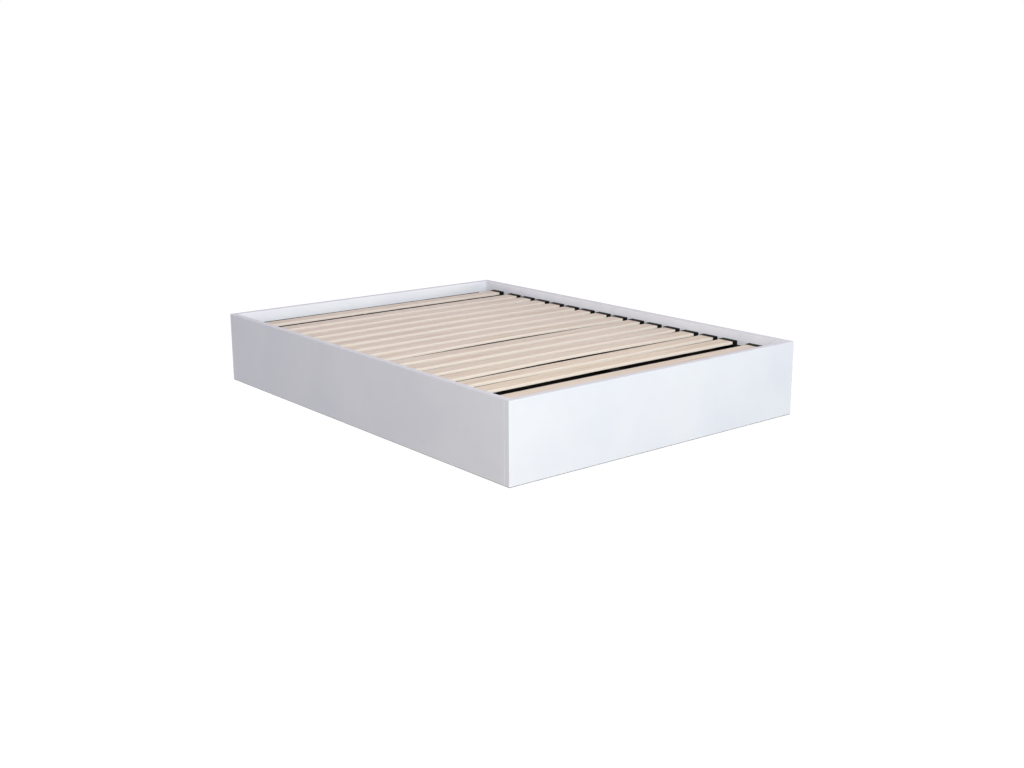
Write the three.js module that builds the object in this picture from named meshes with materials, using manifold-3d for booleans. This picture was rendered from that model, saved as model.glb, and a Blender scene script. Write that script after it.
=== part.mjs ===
// A low box bed base for a full-size mattress: four white lacquered panels stand on the floor round a
// recessed deck of sprung slats, each slat held in two moulded holders pegged to steel side rails.
// Millimetres. +X runs across the bed, +Y towards its head and +Z up, from the floor under its middle.
import * as THREE from 'three';
import Module from 'manifold-3d';
import { mergeVertices } from 'three/addons/utils/BufferGeometryUtils.js';
import { RoundedBoxGeometry } from 'three/addons/geometries/RoundedBoxGeometry.js';

const wasm = await Module();
wasm.setup();

// Fits
const restGap = 0.3; // between a piece and the one it rests on or touches
const cutOverrun = 5; // how far a cutting shape runs past the face it cuts

// The box of panels
const outerWidth = 1448;
const outerLength = 1981;
const panelHeight = 300;
const panelThickness = 25;
const panelEdgeRadius = 2;
const panelEdgeSegments = 1;

// Cam fittings that pull the side panels to the end panels
const camRadius = 7.5;
const camDepth = 12.5;
const camInset = 34; // from the side panel's end
const camLowHeight = 60;
const camHighHeight = 180;
const camSegments = 10;

// Slats
const slatWidth = 70;
const slatThickness = 12;
const slatEdgeRun = 3; // how far in from its edge a slat's rounding starts
const slatEdgeDrop = 1.5;
const slatEndPlay = 1; // between a slat's end and the back wall of its holder
const deckDrop = 40; // from the rim of the panels down to the slats' tops
const slatKit = 16; // slats in a full kit
const headSlatInset = 104; // from the head panel to the middle of the first slat
const headSlatStep = 137; // first slat to second
const footSlatStep = 142; // last slat but one to last
const footSlatInset = 141.4; // from the foot panel to the middle of the last slat
const leastHolderGap = 10; // between two holders in a row
const slatSteps = 8;
const slatCrown = 5; // rise in the middle of the most sprung slat
const slatCrownShares = [0.2, 0.1, 0.3, 0.6, 0.5, 0.4, 0.4, 0.5, 0.9, 0, 0.3, 0.5, 1, 0, 0.4, 0.1];

// Slat holders
const holderDepth = 26; // from the panel to the mouth
const holderFloor = 2.6;
const holderBackWall = 3;
const holderSideWall = 2.7;
const holderLipRoof = 2; // roof above the slat at the mouth
const holderBackRoof = 2.7; // roof above the slat at the panel
const holderBackRound = 2;
const holderLipRound = 0.6;
const mouthLead = 0.4; // how far the pocket widens at its mouth
const mouthLeadDepth = 3;
const gripRibCount = 2;
const gripRibSpacing = 34;
const gripRibWidth = 2;
const gripRibHeight = 0.4;
const pegSpacing = 48;
const pegRadius = 4;
const pegBarb = 0.9; // how far the barb stands out past the shank
const pegBarbHeight = 2;
const pegTipRadius = 2.4;
const pegTipHeight = 4;
const pegRootDepth = 1; // how far the peg starts up inside the holder's floor
const pegSegments = 8;

// Steel side rails
const railThickness = 3;
const railSeatWidth = 30;
const railWebHeight = 40;
const railScrewRadius = 2.75;
const railScrewCount = 7;
const railEndScrewInset = 60; // from the rail's end to its first screw
const railTabScrewDrop = 12; // from the seat, and from the web's foot, to the end tab's two screws

// Centre rail and the hangers that carry its ends
const centreRailWidth = 50;
const centreRailHeight = 25;
const centreRailWall = 2;
const centreRailRound = 3;
const hangerThickness = 2.5;
const hangerReach = 35;
const hangerEndRoom = 20; // between a hanger's end and the side rail
const hangerFoot = 12; // strip below the shelf
const hangerScrewRadius = 2.75;
const hangerScrewInset = 10;
const hangerScrewColumns = 2; // on each side of the shelf

// Centre leg
const legRadius = 19;
const legWall = 2;
const legPlateWidth = 46; // across the centre rail
const legPlateLength = 104; // along the centre rail
const legPlateThickness = 3;
const legPlateRound = 8;
const legPlateHoleRadius = 2.75;
const legPlateHoleInset = 10;
const legPlugHeight = 20;
const legSegments = 18;

// Levelling foot: a threaded stem that turns in a pad
const footTravelUp = 10;
const footTravelDown = 8;
const footTopRoom = 2; // left between the stem's collar and the leg when the foot is screwed right up
const stemRadius = 5;
const stemReserve = 15; // rod left above the leg's plug when the foot is screwed right down
const stemTipChamfer = 1;
const collarAcrossFlats = 17;
const collarHeight = 6;
const collarLift = 3; // from the pad's top to the collar
const neckRadius = 3.6;
const ballRadius = 6;
const padRadius = 24;
const padEdge = 1.5;
const padRimHeight = 5;
const padHeight = 14;
const padBossRadius = 10.5;
const padFloor = 2.5; // under the ball
const socketLip = 0.9; // how far the socket's mouth stands off the neck
const footSegments = 16;
const ballSegments = 4;

// Worked out from the sizes above
const innerHalfWidth = outerWidth / 2 - panelThickness;
const innerHalfLength = outerLength / 2 - panelThickness;
const slatTop = panelHeight - deckDrop;
const slatBottom = slatTop - slatThickness;
const holderBottom = slatBottom - restGap - holderFloor;
const holderLength = slatWidth + 2 * (restGap + holderSideWall);
const railTop = holderBottom - restGap;
const slatLength = 2 * (innerHalfWidth - restGap - holderBackWall - slatEndPlay);
const pegInset = holderDepth / 2;
const centreRailTop = slatBottom - restGap;
const centreRailBottom = centreRailTop - centreRailHeight;
const hangerShelfTop = centreRailBottom - restGap;
const legTop = centreRailBottom - restGap;
const ballHeight = padFloor + restGap + ballRadius;
const collarBottom = padHeight + collarLift;
const collarTop = collarBottom + collarHeight;
const legBottom = collarTop + footTravelUp + footTopRoom;
const stemTop = legBottom + legPlugHeight + footTravelDown + stemReserve;

const whiteLacquer = { color: 0xeef0f4, roughness: 0.35, metalness: 0 };
const paleWood = { color: 0xdccebe, roughness: 0.55, metalness: 0 };
const blackPlastic = { color: 0x1b1a1c, roughness: 0.5, metalness: 0 };
const blackSteel = { color: 0x17171a, roughness: 0.45, metalness: 0.6 };
const zincSteel = { color: 0xb4b7ba, roughness: 0.35, metalness: 0.9 };

// Slat places: the regular slats share what is left between the two outer ones at each end, and a
// shorter bed takes fewer of them.
function slatPlaces() {
  const firstRegular = innerHalfLength - headSlatInset - headSlatStep;
  const lastRegular = -innerHalfLength + footSlatInset + footSlatStep;
  const run = firstRegular - lastRegular;
  const fitting = Math.floor(run / (holderLength + leastHolderGap)) + 1;
  const regular = Math.min(slatKit - 2, fitting);
  const places = [firstRegular + headSlatStep];
  for (let i = 0; i < regular; i++) {
    places.push(firstRegular - (run * i) / (regular - 1));
  }
  places.push(lastRegular - footSlatStep);
  return places;
}

// A closed solid from a three.js geometry, without its doubled points and empty triangles.
function solidOf(geometry) {
  const bare = geometry.clone();
  bare.deleteAttribute('normal');
  bare.deleteAttribute('uv');
  const merged = mergeVertices(bare);
  const corners = merged.index.array;
  const kept = [];
  for (let i = 0; i < corners.length; i += 3) {
    const [a, b, c] = [corners[i], corners[i + 1], corners[i + 2]];
    if (a !== b && b !== c && c !== a) kept.push(a, b, c);
  }
  const vertProperties = new Float32Array(merged.attributes.position.array);
  const triVerts = new Uint32Array(kept);
  return new wasm.Manifold(new wasm.Mesh({ numProp: 3, vertProperties, triVerts }));
}

function geometryOf(solid) {
  const mesh = solid.getMesh();
  const geometry = new THREE.BufferGeometry();
  geometry.setAttribute('position', new THREE.BufferAttribute(mesh.vertProperties, 3));
  geometry.setIndex(new THREE.BufferAttribute(mesh.triVerts, 1));
  geometry.computeVertexNormals();
  return geometry;
}

// The same piece for the other side, mirrored along one axis, 0 for X and 1 for Y.
function mirrored(geometry, axis) {
  const copy = geometry.clone();
  const points = copy.attributes.position;
  for (let i = 0; i < points.count; i++) {
    points.setComponent(i, axis, -points.getComponent(i, axis));
  }
  const corners = copy.index;
  for (let i = 0; i < corners.count; i += 3) {
    const second = corners.getX(i + 1);
    corners.setX(i + 1, corners.getX(i + 2));
    corners.setX(i + 2, second);
  }
  copy.computeVertexNormals();
  return copy;
}

// Puts each end of a geometry that is centred on an axis exactly on its plane, so that faces that
// should be flush are.
function setEnds(geometry, axis, low, high) {
  const points = geometry.attributes.position;
  for (let i = 0; i < points.count; i++) {
    points.setComponent(i, axis, points.getComponent(i, axis) < 0 ? low : high);
  }
}

// A block given by its lowest and highest corner.
function block(low, high) {
  const geometry = new THREE.BoxGeometry(1, 1, 1);
  for (const axis of [0, 1, 2]) setEnds(geometry, axis, low[axis], high[axis]);
  return solidOf(geometry);
}

// A profile drawn in X and Z, run along Y and centred on it.
function prismAlongY(shape, length) {
  const geometry = new THREE.ExtrudeGeometry(shape, { depth: length, bevelEnabled: false });
  geometry.rotateX(Math.PI / 2);
  geometry.translate(0, length / 2, 0);
  setEnds(geometry, 1, -length / 2, length / 2);
  return solidOf(geometry);
}

// A round bar from one point to another along one axis, 0 for X, 1 for Y and 2 for Z.
function roundBar(axis, radius, from, to, segments) {
  const length = Math.abs(to[axis] - from[axis]);
  const geometry = new THREE.CylinderGeometry(radius, radius, length, segments);
  if (axis === 0) geometry.rotateZ(Math.PI / 2);
  if (axis === 2) geometry.rotateX(Math.PI / 2);
  geometry.translate((from[0] + to[0]) / 2, (from[1] + to[1]) / 2, (from[2] + to[2]) / 2);
  return solidOf(geometry);
}

// A turned solid: the profile's points are [radius, height] from the axis, up the outside, to the axis.
function turned(profile, segments) {
  const points = profile.map(([radius, height]) => new THREE.Vector2(radius, height));
  const geometry = new THREE.LatheGeometry(points, segments);
  geometry.rotateX(Math.PI / 2);
  return solidOf(geometry);
}

function roundedRectangle(halfWidth, halfHeight, round) {
  const shape = new THREE.Shape();
  shape.moveTo(-halfWidth + round, -halfHeight);
  shape.lineTo(halfWidth - round, -halfHeight);
  shape.absarc(halfWidth - round, -halfHeight + round, round, -Math.PI / 2, 0);
  shape.lineTo(halfWidth, halfHeight - round);
  shape.absarc(halfWidth - round, halfHeight - round, round, 0, Math.PI / 2);
  shape.lineTo(-halfWidth + round, halfHeight);
  shape.absarc(-halfWidth + round, halfHeight - round, round, Math.PI / 2, Math.PI);
  shape.lineTo(-halfWidth, -halfHeight + round);
  shape.absarc(-halfWidth + round, -halfHeight + round, round, Math.PI, 1.5 * Math.PI);
  return shape;
}

const bed = new THREE.Group();

function addPart(name, geometry, finish, place = [0, 0, 0]) {
  const mesh = new THREE.Mesh(geometry, new THREE.MeshStandardMaterial(finish));
  mesh.name = name;
  mesh.position.set(...place);
  bed.add(mesh);
}

// Panels: the head and foot panels run full width and cover the ends of the side panels.
function endPanel() {
  const geometry = new RoundedBoxGeometry(
    outerWidth, panelThickness, panelHeight, panelEdgeSegments, panelEdgeRadius);
  return geometryOf(solidOf(geometry));
}

// The right side panel about its own middle, with two cam housings near each end of its inner face.
function sidePanel() {
  const length = 2 * (innerHalfLength - restGap);
  const geometry = new RoundedBoxGeometry(
    panelThickness, length, panelHeight, panelEdgeSegments, panelEdgeRadius);
  let solid = solidOf(geometry);
  const innerFace = -panelThickness / 2;
  for (const end of [-1, 1]) {
    for (const height of [camLowHeight, camHighHeight]) {
      const along = end * (length / 2 - camInset);
      const up = height - panelHeight / 2;
      const mouth = [innerFace - cutOverrun, along, up];
      const bottom = [innerFace + camDepth, along, up];
      solid = solid.subtract(roundBar(0, camRadius, mouth, bottom, camSegments));
    }
  }
  return geometryOf(solid);
}

function addPanels() {
  const middle = panelHeight / 2;
  const endPlace = outerLength / 2 - panelThickness / 2;
  const sidePlace = outerWidth / 2 - panelThickness / 2;
  addPart('head_panel', endPanel(), whiteLacquer, [0, endPlace, middle]);
  addPart('foot_panel', endPanel(), whiteLacquer, [0, -endPlace, middle]);
  const right = sidePanel();
  addPart('right_side_panel', right, whiteLacquer, [sidePlace, 0, middle]);
  addPart('left_side_panel', mirrored(right, 0), whiteLacquer, [-sidePlace, 0, middle]);
}

// The right side rail about the panel's inner face: a folded steel angle. Its seat carries the holders,
// its web is screwed to the side panel and a tab at each end is screwed to the end panel.
function slatRail(places) {
  const length = 2 * (innerHalfLength - restGap);
  const half = length / 2;
  const foldHalf = half - railThickness;
  let solid = block([-railSeatWidth, -half, -railWebHeight], [0, half, 0]);
  solid = solid.subtract(block(
    [-railSeatWidth - cutOverrun, -foldHalf, -railWebHeight - cutOverrun],
    [-railThickness, foldHalf, -railThickness]));

  const tabMiddle = -(railSeatWidth + railThickness) / 2;
  for (const end of [-1, 1]) {
    for (const drop of [railTabScrewDrop, railWebHeight - railTabScrewDrop]) {
      const from = [tabMiddle, end * (foldHalf - cutOverrun), -drop];
      const to = [tabMiddle, end * (half + cutOverrun), -drop];
      solid = solid.subtract(roundBar(1, railScrewRadius, from, to, pegSegments));
    }
  }

  for (const place of places) {
    for (const side of [-1, 1]) {
      const along = place + (side * pegSpacing) / 2;
      const from = [-pegInset, along, -railThickness - cutOverrun];
      const to = [-pegInset, along, cutOverrun];
      solid = solid.subtract(roundBar(2, pegRadius + restGap, from, to, pegSegments));
    }
  }

  const screwRun = length - 2 * railEndScrewInset;
  const screwDrop = (railThickness + railWebHeight) / 2;
  for (let i = 0; i < railScrewCount; i++) {
    const along = -screwRun / 2 + (screwRun * i) / (railScrewCount - 1);
    const from = [-railThickness - cutOverrun, along, -screwDrop];
    const to = [cutOverrun, along, -screwDrop];
    solid = solid.subtract(roundBar(0, railScrewRadius, from, to, pegSegments));
  }
  return geometryOf(solid);
}

function addSlatRails(places) {
  const out = innerHalfWidth - restGap;
  const right = slatRail(places);
  addPart('right_slat_rail', right, blackSteel, [out, 0, railTop]);
  addPart('left_slat_rail', mirrored(right, 0), blackSteel, [-out, 0, railTop]);
}

// A moulded holder for the right side, about the middle of its back face's foot: its mouth faces the
// middle of the bed. The roof rises from the lip to the panel, ribs in the pocket grip the slat, and
// two barbed pegs snap through the rail's seat.
function slatHolder() {
  const pocketTop = holderFloor + slatThickness + 2 * restGap + gripRibHeight;
  const lipHeight = holderFloor + slatThickness + 2 * restGap + holderLipRoof;
  const backHeight = holderFloor + slatThickness + 2 * restGap + holderBackRoof;
  const profile = new THREE.Shape();
  profile.moveTo(-holderDepth, 0);
  profile.lineTo(0, 0);
  profile.lineTo(0, backHeight - holderBackRound);
  profile.lineTo(-holderBackRound * Math.SQRT1_2 / 2, backHeight - holderBackRound * Math.SQRT1_2 / 2);
  profile.lineTo(-holderBackRound, backHeight);
  profile.lineTo(-holderDepth + holderLipRound, lipHeight);
  profile.lineTo(-holderDepth, lipHeight - holderLipRound);
  profile.closePath();
  let solid = prismAlongY(profile, holderLength);

  const pocketHalf = slatWidth / 2 + restGap;
  const pocketLow = [-holderDepth - cutOverrun, -pocketHalf, holderFloor];
  const pocketHigh = [-holderBackWall, pocketHalf, pocketTop];
  solid = solid.subtract(block(pocketLow, pocketHigh));

  const lead = new THREE.Shape();
  lead.moveTo(-holderDepth - cutOverrun, pocketTop - gripRibHeight);
  lead.lineTo(-holderDepth + mouthLeadDepth, pocketTop - gripRibHeight);
  lead.lineTo(-holderDepth + mouthLeadDepth, pocketTop);
  lead.lineTo(-holderDepth, pocketTop + mouthLead);
  lead.lineTo(-holderDepth - cutOverrun, pocketTop + mouthLead);
  lead.closePath();
  solid = solid.subtract(prismAlongY(lead, 2 * pocketHalf));

  for (let i = 0; i < gripRibCount; i++) {
    const along = (i - (gripRibCount - 1) / 2) * gripRibSpacing;
    const ribLow = [-holderDepth + mouthLeadDepth, along - gripRibWidth / 2, pocketTop - gripRibHeight];
    const ribHigh = [-holderBackWall / 2, along + gripRibWidth / 2, pocketTop + gripRibHeight];
    solid = solid.add(block(ribLow, ribHigh));
  }

  const barbTop = -restGap - railThickness - restGap;
  const barbFoot = barbTop - pegBarbHeight;
  const peg = turned([
    [0, barbFoot - pegTipHeight],
    [pegTipRadius, barbFoot - pegTipHeight],
    [pegRadius + pegBarb, barbFoot],
    [pegRadius, barbTop],
    [pegRadius, pegRootDepth],
    [0, pegRootDepth],
  ], pegSegments);
  for (const side of [-1, 1]) {
    solid = solid.add(peg.translate([-pegInset, (side * pegSpacing) / 2, 0]));
  }
  return geometryOf(solid);
}

// A sprung slat about its own middle: a rounded section run along X, then raised to its crown.
function slat(crown) {
  const half = slatLength / 2;
  const halfWidth = slatWidth / 2;
  const halfThickness = slatThickness / 2;
  const section = new THREE.Shape();
  const flatHalf = halfWidth - slatEdgeRun;
  const edgeHalf = halfThickness - slatEdgeDrop;
  section.moveTo(-flatHalf, -halfThickness);
  section.lineTo(flatHalf, -halfThickness);
  section.lineTo(halfWidth, -edgeHalf);
  section.lineTo(halfWidth, edgeHalf);
  section.lineTo(flatHalf, halfThickness);
  section.lineTo(-flatHalf, halfThickness);
  section.lineTo(-halfWidth, edgeHalf);
  section.lineTo(-halfWidth, -edgeHalf);
  section.closePath();
  const geometry = new THREE.ExtrudeGeometry(section, {
    depth: slatLength, steps: slatSteps, bevelEnabled: false,
  });
  const across = new THREE.Vector3(0, 1, 0);
  const up = new THREE.Vector3(0, 0, 1);
  const along = new THREE.Vector3(1, 0, 0);
  geometry.applyMatrix4(new THREE.Matrix4().makeBasis(across, up, along));
  geometry.translate(-half, 0, 0);
  const points = geometry.attributes.position;
  for (let i = 0; i < points.count; i++) {
    const rise = (crown * (1 + Math.cos((Math.PI * points.getX(i)) / half))) / 2;
    points.setZ(i, points.getZ(i) + rise);
  }
  return geometryOf(solidOf(geometry));
}

function addSlats(places) {
  const holder = slatHolder();
  const leftHolder = mirrored(holder, 0);
  const out = innerHalfWidth - restGap;
  const middle = slatBottom + slatThickness / 2;
  places.forEach((place, i) => {
    const number = String(i + 1).padStart(2, '0');
    const crown = slatCrown * slatCrownShares[i];
    addPart(`slat_${number}`, slat(crown), paleWood, [0, place, middle]);
    addPart(`holder_right_${number}`, holder, blackPlastic, [out, place, holderBottom]);
    addPart(`holder_left_${number}`, leftHolder, blackPlastic, [-out, place, holderBottom]);
  });
}

// The centre rail: a rectangular steel tube, open at both ends, that lies in the two hangers.
function centreRail() {
  const length = 2 * (innerHalfLength - 2 * restGap - hangerThickness);
  const halfWidth = centreRailWidth / 2;
  const halfHeight = centreRailHeight / 2;
  const outside = roundedRectangle(halfWidth, halfHeight, centreRailRound);
  const bore = roundedRectangle(
    halfWidth - centreRailWall, halfHeight - centreRailWall, centreRailRound - centreRailWall);
  outside.holes.push(bore);
  const geometry = new THREE.ExtrudeGeometry(outside, {
    depth: length, bevelEnabled: false, curveSegments: 2,
  });
  geometry.rotateX(Math.PI / 2);
  geometry.translate(0, length / 2, 0);
  return geometryOf(solidOf(geometry));
}

// The head's hanger about the end panel's inner face: a strip screwed across the panel, from one side
// rail to the other, with a shelf under the centre rail and a cheek on each side of it.
function railHanger() {
  const inside = centreRailWidth / 2 + restGap;
  const outside = inside + hangerThickness;
  const stripEnd = innerHalfWidth - restGap - railSeatWidth - hangerEndRoom;
  const shelfBottom = hangerShelfTop - hangerThickness;
  const stripBottom = shelfBottom - hangerFoot;
  const cheekTop = centreRailTop - centreRailRound;
  const stripMiddle = -hangerThickness / 2;
  const strip = block([-stripEnd, -hangerThickness, stripBottom], [stripEnd, 0, centreRailTop]);
  const tray = block([-outside, -hangerReach, shelfBottom], [outside, stripMiddle, cheekTop]);
  const hollow = block(
    [-inside, -hangerReach - cutOverrun, hangerShelfTop],
    [inside, stripMiddle + cutOverrun, cheekTop + cutOverrun]);
  let solid = strip.add(tray.subtract(hollow));
  const firstColumn = outside + hangerScrewInset;
  const lastColumn = stripEnd - hangerScrewInset;
  for (let i = 0; i < hangerScrewColumns; i++) {
    const column = firstColumn + ((lastColumn - firstColumn) * i) / (hangerScrewColumns - 1);
    for (const across of [-column, column]) {
      for (const height of [stripBottom + hangerScrewInset, centreRailTop - hangerScrewInset]) {
        const from = [across, -hangerThickness - cutOverrun, height];
        const to = [across, cutOverrun, height];
        solid = solid.subtract(roundBar(1, hangerScrewRadius, from, to, pegSegments));
      }
    }
  }
  return geometryOf(solid);
}

function addCentreRail() {
  const out = innerHalfLength - restGap;
  const middle = (centreRailTop + centreRailBottom) / 2;
  addPart('centre_rail', centreRail(), blackSteel, [0, 0, middle]);
  const head = railHanger();
  addPart('head_rail_hanger', head, blackSteel, [0, out, 0]);
  addPart('foot_rail_hanger', mirrored(head, 1), blackSteel, [0, -out, 0]);
}

// The centre leg: a tube under a screw plate, with a threaded plug in its foot for the stem.
function centreLeg() {
  const plateBottom = legTop - legPlateThickness;
  const bore = legRadius - legWall;
  const plugTop = legBottom + legPlugHeight;
  const threadRadius = stemRadius + restGap;
  const tube = turned([
    [threadRadius, legBottom],
    [legRadius, legBottom],
    [legRadius, plateBottom + legPlateThickness / 2],
    [bore, plateBottom + legPlateThickness / 2],
    [bore, plugTop],
    [threadRadius, plugTop],
    [threadRadius, legBottom],
  ], legSegments);
  const outline = roundedRectangle(legPlateWidth / 2, legPlateLength / 2, legPlateRound);
  const plate = new THREE.ExtrudeGeometry(outline, {
    depth: legPlateThickness, bevelEnabled: false, curveSegments: 3,
  });
  plate.translate(0, 0, plateBottom);
  let solid = tube.add(solidOf(plate));
  const holeX = legPlateWidth / 2 - legPlateHoleInset;
  const holeY = legPlateLength / 2 - legPlateHoleInset;
  for (const x of [-holeX, holeX]) {
    for (const y of [-holeY, holeY]) {
      const from = [x, y, plateBottom - cutOverrun];
      const to = [x, y, legTop + cutOverrun];
      solid = solid.subtract(roundBar(2, legPlateHoleRadius, from, to, pegSegments));
    }
  }
  return geometryOf(solid);
}

// The stem: a threaded rod over a hexagon collar, a neck and the ball that turns in the pad.
function footStem() {
  const across = collarAcrossFlats / 2 / Math.cos(Math.PI / 6);
  const from = [0, 0, collarBottom];
  const to = [0, 0, collarTop];
  const hexagon = roundBar(2, across, from, to, 6);
  const neckStart = Math.acos(neckRadius / ballRadius);
  const profile = [];
  for (let i = 0; i <= ballSegments; i++) {
    const angle = -Math.PI / 2 + ((Math.PI / 2 + neckStart) * i) / ballSegments;
    const radius = i === 0 ? 0 : ballRadius * Math.cos(angle);
    profile.push([radius, ballHeight + ballRadius * Math.sin(angle)]);
  }
  const collarMiddle = (collarBottom + collarTop) / 2;
  profile.push([neckRadius, collarMiddle]);
  profile.push([stemRadius, collarMiddle]);
  profile.push([stemRadius, stemTop - stemTipChamfer]);
  profile.push([stemRadius - stemTipChamfer, stemTop]);
  profile.push([0, stemTop]);
  return geometryOf(turned(profile, footSegments).add(hexagon));
}

// The pad: a moulded foot whose socket closes over the ball and leaves the neck free to turn.
function footPad() {
  const socketRadius = ballRadius + restGap;
  const mouthRadius = neckRadius + socketLip;
  const mouthAngle = Math.acos(mouthRadius / socketRadius);
  const profile = [
    [0, 0],
    [padRadius - padEdge, 0],
    [padRadius, padEdge],
    [padRadius, padRimHeight],
    [padBossRadius, padHeight],
    [mouthRadius, padHeight],
  ];
  for (let i = 0; i <= ballSegments; i++) {
    const angle = mouthAngle - ((Math.PI / 2 + mouthAngle) * i) / ballSegments;
    const radius = i === ballSegments ? 0 : socketRadius * Math.cos(angle);
    profile.push([radius, ballHeight + socketRadius * Math.sin(angle)]);
  }
  return geometryOf(turned(profile, footSegments));
}

const places = slatPlaces();
addPanels();
addSlatRails(places);
addSlats(places);
addCentreRail();
addPart('centre_leg', centreLeg(), blackSteel);
addPart('foot_stem', footStem(), zincSteel);
addPart('foot_pad', footPad(), blackPlastic);

export default bed;
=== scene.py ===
# A low white box bed base: the finish of its panels, slats, holders and steel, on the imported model
import math

import bmesh
import bpy
from mathutils import Euler, Matrix, Vector


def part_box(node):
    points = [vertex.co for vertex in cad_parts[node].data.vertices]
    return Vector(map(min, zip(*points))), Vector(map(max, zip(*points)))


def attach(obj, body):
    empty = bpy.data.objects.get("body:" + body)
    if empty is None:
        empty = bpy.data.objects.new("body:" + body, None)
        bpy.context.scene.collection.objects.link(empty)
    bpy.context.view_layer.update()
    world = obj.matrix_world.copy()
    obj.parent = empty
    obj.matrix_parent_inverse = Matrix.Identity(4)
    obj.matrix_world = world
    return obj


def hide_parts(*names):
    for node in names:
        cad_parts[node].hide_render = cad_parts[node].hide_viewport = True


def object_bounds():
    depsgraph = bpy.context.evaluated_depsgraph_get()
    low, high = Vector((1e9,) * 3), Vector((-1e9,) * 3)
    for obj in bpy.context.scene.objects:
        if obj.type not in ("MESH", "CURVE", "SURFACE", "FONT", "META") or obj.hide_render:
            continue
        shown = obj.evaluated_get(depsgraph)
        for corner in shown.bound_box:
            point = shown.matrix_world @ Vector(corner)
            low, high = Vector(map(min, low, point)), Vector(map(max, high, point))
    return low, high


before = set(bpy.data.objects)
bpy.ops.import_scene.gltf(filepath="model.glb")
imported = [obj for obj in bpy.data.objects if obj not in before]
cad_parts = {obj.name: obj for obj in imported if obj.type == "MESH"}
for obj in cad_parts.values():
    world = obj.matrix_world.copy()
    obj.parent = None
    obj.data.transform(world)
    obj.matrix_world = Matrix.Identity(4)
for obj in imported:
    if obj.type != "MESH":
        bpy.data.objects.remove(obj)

mm = 0.001
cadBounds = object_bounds()
collection = bpy.context.scene.collection
noiseLow, noiseHigh = 0.3, 0.7  # nearly all values of a noise texture lie between these
lowColour, highColour = 6, 7  # where a colour Mix node has its two colours among its inputs
print("stage 1: the packed model is in")


def linearColour(hexText):
    # sRGB hex to the linear colour that a shader takes
    shares = [int(hexText[i:i + 2], 16) / 255 for i in (1, 3, 5)]
    return [s / 12.92 if s <= 0.04045 else ((s + 0.055) / 1.055) ** 2.4 for s in shares] + [1]


def setInputs(tree, node, inputs):
    # an input takes a value, a socket, or a node, whose first output in use is linked to it
    for key, value in inputs.items():
        if isinstance(value, bpy.types.Node):
            value = next(socket for socket in value.outputs if socket.enabled)
        if isinstance(value, bpy.types.NodeSocket):
            tree.links.new(value, node.inputs[key])
        else:
            node.inputs[key].default_value = value


def addNode(tree, kind, inputs=None, **settings):
    # a node with its settings and its inputs
    node = tree.nodes.new(kind)
    for name, value in settings.items():
        setattr(node, name, value)
    setInputs(tree, node, inputs or {})
    return node


def newMaterial(name):
    material = bpy.data.materials.new(name)
    material.use_nodes = True
    tree = material.node_tree
    return material, tree, tree.nodes["Principled BSDF"]


def insideWalls(tree, axes, inset):
    # 1 where a point is further in than this from all four outer faces of the bed, and 0 elsewhere
    shares = []
    for axis, outer in (("X", cadBounds[1].x), ("Y", cadBounds[1].y)):
        away = addNode(tree, "ShaderNodeMath", {0: axes[axis]}, operation="ABSOLUTE")
        shares.append(addNode(tree, "ShaderNodeMath", {0: away, 1: outer - inset},
                              operation="LESS_THAN"))
    return addNode(tree, "ShaderNodeMath", {0: shares[0], 1: shares[1]}, operation="MULTIPLY")


def clouded(tree, noise, finish):
    # a colour that goes from one to another with a noise, and a roughness that follows it
    share = addNode(tree, "ShaderNodeMapRange", {
        "Value": noise, "From Min": finish["noiseRange"][0], "From Max": finish["noiseRange"][1]})
    colour = addNode(tree, "ShaderNodeMix", {
        "Factor": share, lowColour: linearColour(finish["colours"][0]),
        highColour: linearColour(finish["colours"][1])}, data_type="RGBA")
    roughness = addNode(tree, "ShaderNodeMapRange", {
        "Value": noise, "From Min": noiseLow, "From Max": noiseHigh,
        "To Min": finish["roughness"][0], "To Max": finish["roughness"][1]})
    return colour, roughness


# White furniture lacquer on fibreboard, sprayed and cured: a satin film with a faint orange peel
lacquer = {
    "colours": ("#eaecf2", "#eff1f5"), "roughness": (0.42, 0.48), "gloss": 0.25,
    "mottle": 260 * mm, "noiseRange": (0.35, 0.65),
    "peel": 2.2 * mm, "peelDepth": 0.02 * mm, "peelStrength": 0.5,
    # painted shade: rim greys the top faces, seal is a painted contact shadow at the floor
    "rim": "#d0ced1", "rimShadeDepth": 1.5 * mm, "contactShadow": "#59575b", "contactShadowHeight": 2.4 * mm,
    # painted shade: the inner faces below the slats are painted dark
    "innerShade": "#2b2826", "innerShadeTop": 209 * mm, "innerShadeInset": 22.8 * mm,
}


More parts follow.
